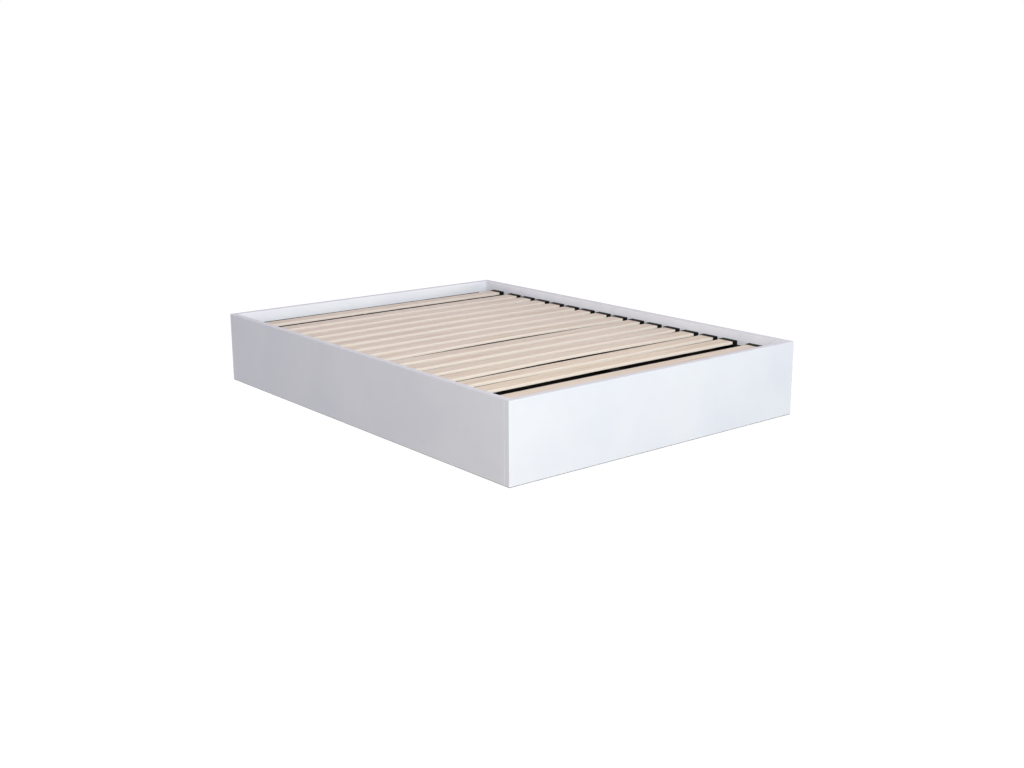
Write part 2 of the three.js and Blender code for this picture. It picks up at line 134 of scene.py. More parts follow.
def makeLacquer():
    material, tree, shader = newMaterial("satin white lacquer")
    place = addNode(tree, "ShaderNodeTexCoord").outputs["Object"]
    axes = addNode(tree, "ShaderNodeSeparateXYZ", {"Vector": place}).outputs
    mottle = addNode(tree, "ShaderNodeTexNoise", {
        "Vector": place, "Scale": 1 / lacquer["mottle"], "Detail": 3})
    colour, roughness = clouded(tree, mottle, lacquer)
    # inside, from the middle of the rails down, the boards' inner faces are painted dark, as painted
    # shade under the slats
    low = addNode(tree, "ShaderNodeMath", {0: axes["Z"], 1: lacquer["innerShadeTop"]},
                  operation="LESS_THAN")
    within = insideWalls(tree, axes, lacquer["innerShadeInset"])
    innerShaded = addNode(tree, "ShaderNodeMath", {0: low, 1: within}, operation="MULTIPLY")
    # painted shade: the top rims a shade greyer than the faces, the edges on the floor dark grey
    rimShaded = addNode(tree, "ShaderNodeMath", {
        0: axes["Z"], 1: cadBounds[1].z - lacquer["rimShadeDepth"]}, operation="GREATER_THAN")
    # a painted contact shadow: the lowest edges of the boards are painted dark grey
    contactShadowed = addNode(tree, "ShaderNodeMath", {0: axes["Z"], 1: lacquer["contactShadowHeight"]},
                     operation="LESS_THAN")
    for share, finish in ((innerShaded, "innerShade"), (rimShaded, "rim"), (contactShadowed, "contactShadow")):
        colour = addNode(tree, "ShaderNodeMix", {
            "Factor": share, lowColour: colour, highColour: linearColour(lacquer[finish])},
            data_type="RGBA")
    peel = addNode(tree, "ShaderNodeTexNoise", {
        "Vector": place, "Scale": 1 / lacquer["peel"], "Detail": 1})
    bump = addNode(tree, "ShaderNodeBump", {
        "Height": peel, "Distance": lacquer["peelDepth"], "Strength": lacquer["peelStrength"]})
    setInputs(tree, shader, {
        "Base Color": colour, "Roughness": roughness, "Normal": bump,
        "Specular IOR Level": lacquer["gloss"]})
    return material


# Pale laminated birch, rotary cut and lightly sealed: fibre streaks on the face, plies on the edge
birch = {
    "face": "#dacbbc", "faceWarm": "#dfcdb5", "edge": "#f0e4d7",
    "glueLine": "#dbc9b5", "glueWidth": 0.25 * mm, "glueShare": 0.7, "ply": 1.6 * mm,
    "speck": "#8a6c56", "speckSize": (160 * mm, 60 * mm, 1), "speckRange": (0.035, 0.02),
    "roughness": (0.51, 0.63), "fibreDepth": 0.06 * mm, "fibreStrength": 0.5,
    # the figure of the face, coarsest first: its size along, across and from slat to slat, and
    # the noise values between which it comes in, up to its share
    "figure": {
        "streak": {"colour": "#c9b59d", "size": (700 * mm, 20 * mm, 1), "detail": 4,
                   "distortion": 0.25, "range": (0.48, 0.72), "share": 1},
        "flame": {"colour": "#c4a688", "size": (220 * mm, 9 * mm, 0.7), "detail": 2,
                  "distortion": 0.6, "range": (0.58, 0.72), "share": 0.7},
        "fibre": {"colour": "#c9b49d", "size": (70 * mm, 1.6 * mm, 1), "detail": 3,
                  "distortion": 0, "range": (0.5, 0.8), "share": 0.6},
    },
}


def makeBirch():
    material, tree, shader = newMaterial("laminated birch")
    place = addNode(tree, "ShaderNodeTexCoord").outputs["Object"]
    along = addNode(tree, "ShaderNodeSeparateXYZ", {"Vector": place}).outputs["X"]
    across, height, edge, tone, seed = [
        addNode(tree, "ShaderNodeAttribute", attribute_name=name).outputs["Fac"]
        for name in ("slatAcross", "slatHeight", "slatEdge", "slatTone", "slatSeed")]
    own = addNode(tree, "ShaderNodeCombineXYZ", {"X": along, "Y": across, "Z": seed})

    face = addNode(tree, "ShaderNodeMix", {
        "Factor": tone, lowColour: linearColour(birch["face"]),
        highColour: linearColour(birch["faceWarm"])}, data_type="RGBA")
    noises = {}
    for name, figure in birch["figure"].items():
        drawn = addNode(tree, "ShaderNodeMapping", {
            "Vector": own, "Scale": [1 / length for length in figure["size"]]})
        noises[name] = addNode(tree, "ShaderNodeTexNoise", {
            "Vector": drawn, "Scale": 1, "Detail": figure["detail"],
            "Distortion": figure["distortion"]})
        share = addNode(tree, "ShaderNodeMapRange", {
            "Value": noises[name], "From Min": figure["range"][0],
            "From Max": figure["range"][1], "To Max": figure["share"]})
        face = addNode(tree, "ShaderNodeMix", {
            "Factor": share, lowColour: face, highColour: linearColour(figure["colour"])},
            data_type="RGBA")
    drawn = addNode(tree, "ShaderNodeMapping", {
        "Vector": own, "Scale": [1 / length for length in birch["speckSize"]]})
    specks = addNode(tree, "ShaderNodeTexVoronoi", {"Vector": drawn, "Scale": 1, "Randomness": 1})
    share = addNode(tree, "ShaderNodeMapRange", {
        "Value": specks, "From Min": birch["speckRange"][0], "From Max": birch["speckRange"][1]})
    face = addNode(tree, "ShaderNodeMix", {
        "Factor": share, lowColour: face, highColour: linearColour(birch["speck"])},
        data_type="RGBA")

    plies = addNode(tree, "ShaderNodeMath", {0: height, 1: birch["ply"]}, operation="PINGPONG")
    glue = addNode(tree, "ShaderNodeMapRange", {
        "Value": plies, "From Min": birch["glueWidth"], "From Max": 0,
        "To Max": birch["glueShare"]})
    side = addNode(tree, "ShaderNodeMix", {
        "Factor": glue, lowColour: linearColour(birch["edge"]),
        highColour: linearColour(birch["glueLine"])}, data_type="RGBA")
    colour = addNode(tree, "ShaderNodeMix", {"Factor": edge, lowColour: face, highColour: side},
                     data_type="RGBA")
    roughness = addNode(tree, "ShaderNodeMapRange", {
        "Value": noises["fibre"], "From Min": noiseLow, "From Max": noiseHigh,
        "To Min": birch["roughness"][0], "To Max": birch["roughness"][1]})
    bump = addNode(tree, "ShaderNodeBump", {
        "Height": noises["fibre"], "Distance": birch["fibreDepth"],
        "Strength": birch["fibreStrength"]})
    setInputs(tree, shader, {"Base Color": colour, "Roughness": roughness, "Normal": bump})
    return material


# Black polypropylene, injection moulded in a spark-eroded tool: a fine even grain with a dull sheen
polypropylene = {
    "colours": ("#0d0c0e", "#171618"), "roughness": (0.5, 0.63), "gloss": 0.08,
    "scuff": 18 * mm, "noiseRange": (0.4, 0.75),
    "grain": 0.5 * mm, "grainDepth": 0.03 * mm, "grainStrength": 0.4,
}


def makePolypropylene():
    material, tree, shader = newMaterial("moulded polypropylene")
    place = addNode(tree, "ShaderNodeTexCoord").outputs["Object"]
    scuffs = addNode(tree, "ShaderNodeTexNoise", {
        "Vector": place, "Scale": 1 / polypropylene["scuff"], "Detail": 2})
    colour, roughness = clouded(tree, scuffs, polypropylene)
    grain = addNode(tree, "ShaderNodeTexNoise", {
        "Vector": place, "Scale": 1 / polypropylene["grain"], "Detail": 2})
    bump = addNode(tree, "ShaderNodeBump", {
        "Height": grain, "Distance": polypropylene["grainDepth"],
        "Strength": polypropylene["grainStrength"]})
    setInputs(tree, shader, {
        "Base Color": colour, "Roughness": roughness, "Normal": bump,
        "Specular IOR Level": polypropylene["gloss"]})
    return material


# Black polyester powder coat on pressed steel: an even film with a pebbled surface
powderCoat = {
    "colours": ("#0a0a0c", "#131315"), "roughness": (0.67, 0.77), "gloss": 0.05,
    "pebble": 0.9 * mm, "pebbleDepth": 0.04 * mm, "pebbleStrength": 0.6, "noiseRange": (0.45, 0.7),
}


def makePowderCoat():
    material, tree, shader = newMaterial("black powder coat")
    place = addNode(tree, "ShaderNodeTexCoord").outputs["Object"]
    pebbles = addNode(tree, "ShaderNodeTexNoise", {
        "Vector": place, "Scale": 1 / powderCoat["pebble"], "Detail": 1.5})
    colour, roughness = clouded(tree, pebbles, powderCoat)
    bump = addNode(tree, "ShaderNodeBump", {
        "Height": pebbles, "Distance": powderCoat["pebbleDepth"],
        "Strength": powderCoat["pebbleStrength"]})
    setInputs(tree, shader, {
        "Base Color": colour, "Roughness": roughness, "Normal": bump,
        "Specular IOR Level": powderCoat["gloss"]})
    return material


# Zinc plate on machined steel, bright passivated: a cool metal with faint cloudy spots
zincPlate = {
    "colours": ("#c3c7cc", "#a9aeb6"), "roughness": (0.24, 0.4),
    "spot": 5 * mm, "noiseRange": (0.4, 0.7),
}


def makeZincPlate():
    material, tree, shader = newMaterial("zinc plated steel")
    place = addNode(tree, "ShaderNodeTexCoord").outputs["Object"]
    spots = addNode(tree, "ShaderNodeTexNoise", {
        "Vector": place, "Scale": 1 / zincPlate["spot"], "Detail": 3})
    colour, roughness = clouded(tree, spots, zincPlate)
    setInputs(tree, shader, {"Base Color": colour, "Roughness": roughness, "Metallic": 1})
    return material


materials = {
    "white_lacquer": makeLacquer(),
    "slat_veneer": makeBirch(),
    "black_moulding": makePolypropylene(),
    "black_steel": makePowderCoat(),
    "zinc_steel": makeZincPlate(),
}
print("stage 2: the materials are made")


def newPiece(name, mesh, slot, body, *nodes):
    # a finished mesh as a piece that rides on a body and stands for the CAD nodes it names
    piece = bpy.data.objects.new(name, mesh)
    collection.objects.link(piece)
    if not mesh.materials:
        mesh.materials.append(materials[slot])
    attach(piece, body)
    if nodes:
        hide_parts(*nodes)


def meshOf(shape, name):
    # a bmesh as a plain mesh with its faces turned outwards
    bmesh.ops.recalc_face_normals(shape, faces=shape.faces)
    mesh = bpy.data.meshes.new(name)
    shape.to_mesh(mesh)
    shape.free()
    return mesh


def evaluatedMesh(thing, name):
    # what an object's modifiers make of it, as a plain mesh
    bpy.context.view_layer.update()
    seen = thing.evaluated_get(bpy.context.evaluated_depsgraph_get())
    mesh = bpy.data.meshes.new_from_object(seen)
    mesh.name = name
    return mesh


def smoothed(mesh, sharpAngle=40):
    mesh.polygons.foreach_set("use_smooth", [True] * len(mesh.polygons))
    mesh.set_sharp_from_angle(angle=math.radians(sharpAngle))
    return mesh


def flatKept(mesh):
    # a smooth mesh in which the large faces keep their own direction beside small rounds
    work = bpy.data.objects.new("work", mesh)
    collection.objects.link(work)
    modifier = work.modifiers.new("weighted", "WEIGHTED_NORMAL")
    modifier.keep_sharp = True
    result = evaluatedMesh(work, mesh.name)
    bpy.data.objects.remove(work)
    return result


def rounded(shape, edges, offset, steps, clamped=False):
    # rounds some edges of a bmesh
    bmesh.ops.bevel(shape, geom=edges, offset=offset, segments=steps, profile=0.5,
                    affect="EDGES", clamp_overlap=clamped)


def reachOf(edge, axis):
    # how far an edge runs along an axis, with 0, 1 and 2 for X, Y and Z
    return abs(edge.verts[0].co[axis] - edge.verts[1].co[axis])


def blockShape(low, high):
    shape = bmesh.new()
    bmesh.ops.create_cube(shape, size=1)
    for vert in shape.verts:
        vert.co = Vector(high[i] if vert.co[i] > 0 else low[i] for i in range(3))
    return shape


def turnedShape(profile, steps, closed=False):
    # a solid turned about the Z axis; the profile's points are (radius, height), from the axis and
    # back to it, or a closed loop clear of it
    shape = bmesh.new()
    rings = []
    for radius, height in profile:
        count = steps if radius > 0 else 1
        angles = [2 * math.pi * i / steps for i in range(count)]
        rings.append([shape.verts.new((radius * math.cos(a), radius * math.sin(a), height))
                      for a in angles])
    following = rings[1:] + (rings[:1] if closed else [])
    for low, high in zip(rings, following):
        for i in range(steps):
            j = (i + 1) % steps
            corners = (low[i % len(low)], low[j % len(low)],
                       high[j % len(high)], high[i % len(high)])
            distinct = list(dict.fromkeys(corners))
            if len(distinct) > 2:
                shape.faces.new(distinct)
    return shape


def prismShape(outline, low, high):
    # a closed outline in X and Z run along Y
    shape = bmesh.new()
    ends = [[shape.verts.new((x, y, z)) for x, z in outline] for y in (low, high)]
    for end in ends:
        shape.faces.new(end)
    for i in range(len(outline)):
        j = (i + 1) % len(outline)
        shape.faces.new((ends[0][i], ends[0][j], ends[1][j], ends[1][i]))
    return shape


def roundBar(axis, radius, start, end, steps):
    # a bar along the X or Z axis, between two points
    length = (Vector(end) - Vector(start)).length
    shape = turnedShape([(0, 0), (radius, 0), (radius, length), (0, length)], steps)
    turn = {"X": Matrix.Rotation(math.pi / 2, 4, "Y"), "Z": Matrix.Identity(4)}[axis]
    bmesh.ops.transform(shape, matrix=Matrix.Translation(start) @ turn, verts=shape.verts)
    return shape


def arcPoints(centre, radius, fromDegrees, toDegrees, steps):
    turn = toDegrees - fromDegrees
    angles = [math.radians(fromDegrees + turn * i / steps) for i in range(steps + 1)]
    return [(centre[0] + radius * math.cos(a), centre[1] + radius * math.sin(a)) for a in angles]


def joined(base, others, operation):
    # a mesh with other shapes added to it, cut out of it, or kept only where they overlap
    for other in others:
        work = bpy.data.objects.new("work", base)
        tool = bpy.data.objects.new("tool", meshOf(other, "tool"))
        for thing in (work, tool):
            collection.objects.link(thing)
        modifier = work.modifiers.new("join", "BOOLEAN")
        modifier.operation = operation
        modifier.solver = "EXACT"
        modifier.object = tool
        base = evaluatedMesh(work, base.name)
        for thing in (work, tool):
            bpy.data.objects.remove(thing)
    return base


# Panels: boards with small rounds at their edges; the side panels have bores for the cam housings
panel = {
    "edgeRound": 2 * mm, "roundSteps": 4, "camRadius": 7.5 * mm, "camDepth": 12.5 * mm,
    "camInset": 34 * mm, "camHeights": (60 * mm, 180 * mm), "camSteps": 40, "overrun": 1 * mm,
    "outward": {"head_panel": 0, "foot_panel": 0, "left_side_panel": -1, "right_side_panel": 1},
}


def camPlaces(node):
    # the mouths of the cam bores in the inner face of a side panel; the other panels have none
    outward = panel["outward"][node]
    if not outward:
        return []
    low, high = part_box(node)
    face = high.x if outward < 0 else low.x
    return [Vector((face, along, height))
            for along in (low.y + panel["camInset"], high.y - panel["camInset"])
            for height in panel["camHeights"]]


for node, outward in panel["outward"].items():
    block = blockShape(*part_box(node))
    rounded(block, block.edges[:], panel["edgeRound"], panel["roundSteps"])
    board = meshOf(block, node)
    bores = []
    for mouth in camPlaces(node):
        ends = (mouth - Vector((outward * panel["overrun"], 0, 0)),
                mouth + Vector((outward * panel["camDepth"], 0, 0)))
        start, end = sorted(ends, key=lambda point: point.x)
        bores.append(roundBar("X", panel["camRadius"], start, end, panel["camSteps"]))
    newPiece(node + "_lacquered", flatKept(smoothed(joined(board, bores, "DIFFERENCE"))),
             "white_lacquer", "bed_frame", node)
print("stage 3: the panels are made")


# Slats: bent laminated boards, each with its own crown and tone, from the head to the foot
slat = {
    "thickness": 12 * mm, "edgeRun": 3 * mm, "edgeDrop": 1.5 * mm, "roundSteps": 5,
    "lengthSteps": 48, "seedStep": 7.3,
    "tones": [0.3, 0.1, 0.2, 0.15, 0.35, 0.1, 0.25, 0.2, 0.4, 0.3, 0.45, 0.3, 0.5, 0.8, 0.95, 0.5],
}


def makeSlatTree():
    tree = bpy.data.node_groups.new("crowned slat", "GeometryNodeTree")
    for name in ("Length", "Width", "Thickness", "Edge Run", "Edge Drop", "Crown", "Place",
                 "Height", "Tone", "Seed"):
        tree.interface.new_socket(name, in_out="INPUT", socket_type="NodeSocketFloat")
    tree.interface.new_socket("Finish", in_out="INPUT", socket_type="NodeSocketMaterial")
    tree.interface.new_socket("Geometry", in_out="OUTPUT", socket_type="NodeSocketGeometry")
    given = addNode(tree, "NodeGroupInput").outputs

    # the edges are rounded as quarter ellipses: circles in a section drawn narrower, then widened
    stretch = addNode(tree, "ShaderNodeMath", {0: given["Edge Run"], 1: given["Edge Drop"]},
                      operation="DIVIDE")
    narrowed = addNode(tree, "ShaderNodeMath", {0: given["Width"], 1: stretch}, operation="DIVIDE")
    section = addNode(tree, "GeometryNodeCurvePrimitiveQuadrilateral", {
        "Width": narrowed, "Height": given["Thickness"]})
    section = addNode(tree, "GeometryNodeFilletCurve", {
        "Curve": section, "Radius": given["Edge Drop"], "Count": slat["roundSteps"]}, mode="POLY")
    section = addNode(tree, "GeometryNodeTransform", {
        "Geometry": section,
        "Scale": addNode(tree, "ShaderNodeCombineXYZ", {"X": stretch, "Y": 1, "Z": 1})})

    # the board runs from end to end in enough steps for its crown
    half = addNode(tree, "ShaderNodeMath", {0: given["Length"], 1: 0.5}, operation="MULTIPLY")
    minusHalf = addNode(tree, "ShaderNodeMath", {0: half, 1: -1}, operation="MULTIPLY")
    line = addNode(tree, "GeometryNodeCurvePrimitiveLine", {
        "Start": addNode(tree, "ShaderNodeCombineXYZ", {"X": minusHalf}),
        "End": addNode(tree, "ShaderNodeCombineXYZ", {"X": half})})
    line = addNode(tree, "GeometryNodeResampleCurve", {
        "Curve": line, "Count": slat["lengthSteps"] + 1})
    board = addNode(tree, "GeometryNodeCurveToMesh", {
        "Curve": line, "Profile Curve": section, "Fill Caps": True})

    # what the birch needs of each point: how far across and up it is, and its share of the edge
    place = addNode(tree, "GeometryNodeInputPosition")
    axes = addNode(tree, "ShaderNodeSeparateXYZ", {"Vector": place}).outputs
    underside = addNode(tree, "ShaderNodeMath", {0: given["Thickness"], 1: 0.5},
                        operation="MULTIPLY")
    fromUnder = addNode(tree, "ShaderNodeMath", {0: axes["Z"], 1: underside}, operation="ADD")
    halfWidth = addNode(tree, "ShaderNodeMath", {0: given["Width"], 1: 0.5}, operation="MULTIPLY")
    halfFlat = addNode(tree, "ShaderNodeMath", {0: halfWidth, 1: given["Edge Run"]},
                       operation="SUBTRACT")
    fromMiddle = addNode(tree, "ShaderNodeMath", {0: axes["Y"]}, operation="ABSOLUTE")
    pastFlat = addNode(tree, "ShaderNodeMath", {0: fromMiddle, 1: halfFlat}, operation="SUBTRACT")
    edgeShare = addNode(tree, "ShaderNodeMath", {0: pastFlat, 1: given["Edge Run"]},
                        operation="DIVIDE")
    for name, value in (("slatAcross", axes["Y"]), ("slatHeight", fromUnder),
                        ("slatEdge", edgeShare), ("slatTone", given["Tone"]),
                        ("slatSeed", given["Seed"])):
        board = addNode(tree, "GeometryNodeStoreNamedAttribute", {
            "Geometry": board, "Name": name, "Value": value})

    # the crown is one wave of a cosine, highest in the middle and level at the ends
    share = addNode(tree, "ShaderNodeMath", {0: axes["X"], 1: half}, operation="DIVIDE")
    turn = addNode(tree, "ShaderNodeMath", {0: share, 1: math.pi}, operation="MULTIPLY")
    cosine = addNode(tree, "ShaderNodeMath", {0: turn}, operation="COSINE")
    wave = addNode(tree, "ShaderNodeMath", {0: cosine, 1: 1}, operation="ADD")
    halfCrown = addNode(tree, "ShaderNodeMath", {0: given["Crown"], 1: 0.5}, operation="MULTIPLY")
    rise = addNode(tree, "ShaderNodeMath", {0: wave, 1: halfCrown}, operation="MULTIPLY")
    lift = addNode(tree, "ShaderNodeMath", {0: rise, 1: given["Height"]}, operation="ADD")
    board = addNode(tree, "GeometryNodeSetPosition", {
        "Geometry": board,
        "Offset": addNode(tree, "ShaderNodeCombineXYZ", {"Y": given["Place"], "Z": lift})})
    real = addNode(tree, "GeometryNodeRealizeInstances", {"Geometry": board})
    done = addNode(tree, "GeometryNodeSetMaterial", {"Geometry": real, "Material": given["Finish"]})
    addNode(tree, "NodeGroupOutput", {"Geometry": done})
    return tree


def meshFromTree(tree, name, values, source=None):
    # runs a tree with its inputs set by name and gives the result as a plain mesh
    start = bpy.data.objects.new(name + "Source", source or bpy.data.meshes.new(name + "Source"))
    collection.objects.link(start)
    modifier = start.modifiers.new("tree", "NODES")
    modifier.node_group = tree
    for item in tree.interface.items_tree:
        if item.in_out == "INPUT" and item.name in values:
            modifier[item.identifier] = values[item.name]
    mesh = evaluatedMesh(start, name)
    start.modifiers.clear()
    bpy.data.objects.remove(start)
    return mesh


slatTree = makeSlatTree()
for i, tone in enumerate(slat["tones"]):
    node = f"slat_{i + 1:02d}"
    low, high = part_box(node)
    mesh = meshFromTree(slatTree, node + "_birch", {
        "Length": high.x - low.x, "Width": high.y - low.y, "Thickness": slat["thickness"],
        "Edge Run": slat["edgeRun"], "Edge Drop": slat["edgeDrop"],
        "Crown": high.z - low.z - slat["thickness"],
        "Place": (low.y + high.y) / 2, "Height": low.z + slat["thickness"] / 2,
        "Tone": tone, "Seed": i * slat["seedStep"], "Finish": materials["slat_veneer"],
    })
    newPiece(node + "_birch", flatKept(smoothed(mesh)), "slat_veneer", "bed_frame", node)
print("stage 4: the slats are made")


# Slat holders: moulded sleeves, open to the middle of the bed, with a rising roof, a lead-in at the
# mouth, grip ribs under the roof and two split pegs that snap through the rail
holder = {
    "depth": 26 * mm, "floor": 2.6 * mm, "backWall": 3 * mm, "sideWall": 2.7 * mm, "fit": 0.3 * mm,
    "lipRoof": 2 * mm, "backRoof": 2.7 * mm, "backRound": 2 * mm, "backSteps": 5,
    "lipRound": 0.6 * mm, "lipStart": 95, "lipSteps": 4, "endRound": 0.7 * mm, "endSteps": 3,
    "ribHeight": 0.4 * mm, "ribRadius": 1 * mm, "ribSpacing": 34 * mm, "ribSteps": 12,
    "lead": 0.4 * mm, "sideLead": 0.9 * mm, "leadDepth": 3 * mm,
    "pocketRound": 0.8 * mm, "pocketSteps": 2, "pocketOverrun": 12 * mm,
    "pegSpacing": 48 * mm, "pegRadius": 4 * mm, "barb": 0.9 * mm, "barbHeight": 2 * mm,
    "tipRadius": 2.4 * mm, "tipHeight": 4 * mm, "railThickness": 3 * mm, "pegSplit": 1.6 * mm,
    "pegSteps": 24, "splitOverrun": 2 * mm,
}


def leadShape(pocketHalf, pocketTop):
    # a taper that is as wide as the pocket behind the mouth and flares out through it
    shape = bmesh.new()
    rings = []
    for step, flare in ((-1, 2), (1, 0)):
        x = -holder["depth"] + step * holder["leadDepth"]
        across = pocketHalf + flare * holder["sideLead"]
        top = pocketTop + flare * holder["lead"]
        rings.append([shape.verts.new((x, y, z)) for y, z in (
            (-across, holder["floor"]), (across, holder["floor"]), (across, top), (-across, top))])
    for ring in rings:
        shape.faces.new(ring)
    for i in range(4):
        shape.faces.new((rings[0][i], rings[0][i - 1], rings[1][i - 1], rings[1][i]))
    return shape


def pegShapes():
    # two barbed pegs under the holder's floor, and the slots that split them
    barbTop = -holder["railThickness"] - 2 * holder["fit"]
    barbFoot = barbTop - holder["barbHeight"]
    tip = barbFoot - holder["tipHeight"]
    top = holder["floor"] / 2
    radius = holder["pegRadius"]
    axis = -holder["depth"] / 2
    splitHalf = holder["pegSplit"] / 2
    pegs, splits = [], []
    for middle in (-holder["pegSpacing"] / 2, holder["pegSpacing"] / 2):
        peg = turnedShape([
            (0, tip), (holder["tipRadius"], tip), (radius + holder["barb"], barbFoot),
            (radius, barbTop), (radius, top), (0, top),
        ], holder["pegSteps"])
        place = Matrix.Translation((axis, middle, 0))
        bmesh.ops.transform(peg, matrix=place, verts=peg.verts)
        pegs.append(peg)
        splits.append(blockShape(
            (axis - splitHalf, middle - 2 * radius, tip - holder["splitOverrun"]),
            (axis + splitHalf, middle + 2 * radius, -holder["fit"])))
    return pegs, splits


def holderMesh(length):
    # the right side's holder about the foot of its back face
    slatTop = holder["floor"] + slat["thickness"] + 2 * holder["fit"]
    pocketTop = slatTop + holder["ribHeight"]
    lipTop = slatTop + holder["lipRoof"]
    backTop = slatTop + holder["backRoof"]
    pocketHalf = length / 2 - holder["sideWall"]
    mouth, lip, back = -holder["depth"], holder["lipRound"], holder["backRound"]
    outline = [(mouth, 0), (0, 0)]
    outline += arcPoints((-back, backTop - back), back, 0, 90, holder["backSteps"])
    outline += arcPoints((mouth + lip, lipTop - lip), lip, holder["lipStart"], 180,
                         holder["lipSteps"])
    body = prismShape(outline, -length / 2, length / 2)
    ends = [edge for edge in body.edges if reachOf(edge, 1) < holder["fit"] / 10]
    rounded(body, ends, holder["endRound"], holder["endSteps"], clamped=True)

    pocket = blockShape((mouth - holder["pocketOverrun"], -pocketHalf, holder["floor"]),
                        (-holder["backWall"], pocketHalf, pocketTop))
    rounded(pocket, pocket.edges[:], holder["pocketRound"], holder["pocketSteps"])
    mesh = joined(meshOf(body, "holder"), [pocket, leadShape(pocketHalf, pocketTop)],
                  "DIFFERENCE")

    ribStart, ribEnd = mouth + holder["leadDepth"], -holder["backWall"] / 2
    ribLift = pocketTop + holder["ribRadius"] - holder["ribHeight"]
    ribs = [roundBar("X", holder["ribRadius"], (ribStart, along, ribLift),
                     (ribEnd, along, ribLift), holder["ribSteps"])
            for along in (-holder["ribSpacing"] / 2, holder["ribSpacing"] / 2)]
    pegs, splits = pegShapes()
    mesh = joined(mesh, ribs + pegs, "UNION")
    return joined(mesh, splits, "DIFFERENCE")


firstLow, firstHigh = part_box("holder_right_01")
rightHolder = holderMesh(firstHigh.y - firstLow.y)
leftHolder = rightHolder.copy()
leftHolder.transform(Matrix.Diagonal((-1, 1, 1, 1)))
leftHolder.flip_normals()
holderHeight = holder["floor"] + slat["thickness"] + 2 * holder["fit"] + holder["backRoof"]
for side, template in (("right", rightHolder), ("left", leftHolder)):
    for i in range(len(slat["tones"])):
        node = f"holder_{side}_{i + 1:02d}"
        low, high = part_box(node)
        mesh = template.copy()
        mesh.name = node + "_moulded"
        mesh.transform(Matrix.Translation((
            high.x if side == "right" else low.x, (low.y + high.y) / 2, high.z - holderHeight)))
        newPiece(mesh.name, smoothed(mesh), "black_moulding", "bed_frame", node)
print("stage 5: the slat holders are made")


# The centre leg: a tube welded under a screw plate, with a threaded plug pressed into its foot
leg = {
    "radius": 19 * mm, "wall": 2 * mm, "footRound": 1 * mm, "steps": 64,
    "plate": 3 * mm, "plateWidth": 46 * mm, "plateLength": 104 * mm, "plateRound": 8 * mm,
    "roundSteps": 8, "plateEase": 0.5 * mm, "easeSteps": 2,
    "holeRadius": 2.75 * mm, "holeInset": 10 * mm, "holeSteps": 24,
    "plug": 20 * mm, "boreRadius": 5.3 * mm, "boreLead": 0.8 * mm,
    "weld": 2.4 * mm, "weldHollow": (0.35, 0.4),  # shares of the weld, out from the tube and down
}


def legScrewPlaces():
    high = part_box("centre_leg")[1]
    acrossHalf = leg["plateWidth"] / 2 - leg["holeInset"]
    alongHalf = leg["plateLength"] / 2 - leg["holeInset"]
    return [Vector((x, y, high.z - leg["plate"])) for x in (-acrossHalf, acrossHalf)
            for y in (-alongHalf, alongHalf)]


def legMesh():
    low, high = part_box("centre_leg")
    under = high.z - leg["plate"]
    bore = leg["radius"] - leg["wall"]
    weldTop = under + leg["plate"] / 2
    hollowOut, hollowDown = leg["weldHollow"]
    tube = turnedShape([
        (leg["boreRadius"] + leg["boreLead"], low.z),
        (leg["radius"] - leg["footRound"], low.z),
        (leg["radius"], low.z + leg["footRound"]),
        (leg["radius"], under - leg["weld"]),
        (leg["radius"] + leg["weld"] * hollowOut, under - leg["weld"] * hollowDown),
        (leg["radius"] + leg["weld"], under),
        (leg["radius"] + leg["weld"], weldTop),
        (bore, weldTop),
        (bore, low.z + leg["plug"]),
        (leg["boreRadius"], low.z + leg["plug"]),
        (leg["boreRadius"], low.z + leg["boreLead"]),
    ], leg["steps"], closed=True)
    plate = blockShape((-leg["plateWidth"] / 2, -leg["plateLength"] / 2, under),
                       (leg["plateWidth"] / 2, leg["plateLength"] / 2, high.z))
    upright = [edge for edge in plate.edges if reachOf(edge, 2) > leg["plateEase"]]
    rounded(plate, upright, leg["plateRound"], leg["roundSteps"])
    level = [edge for edge in plate.edges if reachOf(edge, 2) < leg["plateEase"] / 10]
    rounded(plate, level, leg["plateEase"], leg["easeSteps"])
    holes = [roundBar("Z", leg["holeRadius"], (place.x, place.y, under - leg["plate"]),
                      (place.x, place.y, high.z + leg["plate"]), leg["holeSteps"])
             for place in legScrewPlaces()]
    mesh = joined(meshOf(plate, "leg"), holes, "DIFFERENCE")
    return joined(mesh, [tube], "UNION")


newPiece("centre_leg_welded", smoothed(legMesh(), sharpAngle=35), "black_steel", "bed_frame",
         "centre_leg")


# The levelling foot: a stem with a rolled M10 thread over a hexagon collar and a ball
stem = {
    "pitch": 1.5 * mm, "threadRadius": 5 * mm, "threadDepth": 0.85 * mm, "threadSteps": 8,
    "crestHalf": 1 / 16, "flank": 1 / 4,  # shares of the pitch
    "runOut": 2 * mm, "tipChamfer": 1 * mm, "sink": 0.02 * mm, "steps": 40,
    "collarSides": 6, "collarAcrossFlats": 17 * mm, "collarLow": 17 * mm, "collarHigh": 23 * mm,
    "collarEase": 0.9 * mm, "neckRadius": 3.6 * mm,
    "ballRadius": 6 * mm, "ballHeight": 8.8 * mm, "ballStart": -80, "ballSteps": 14,
}


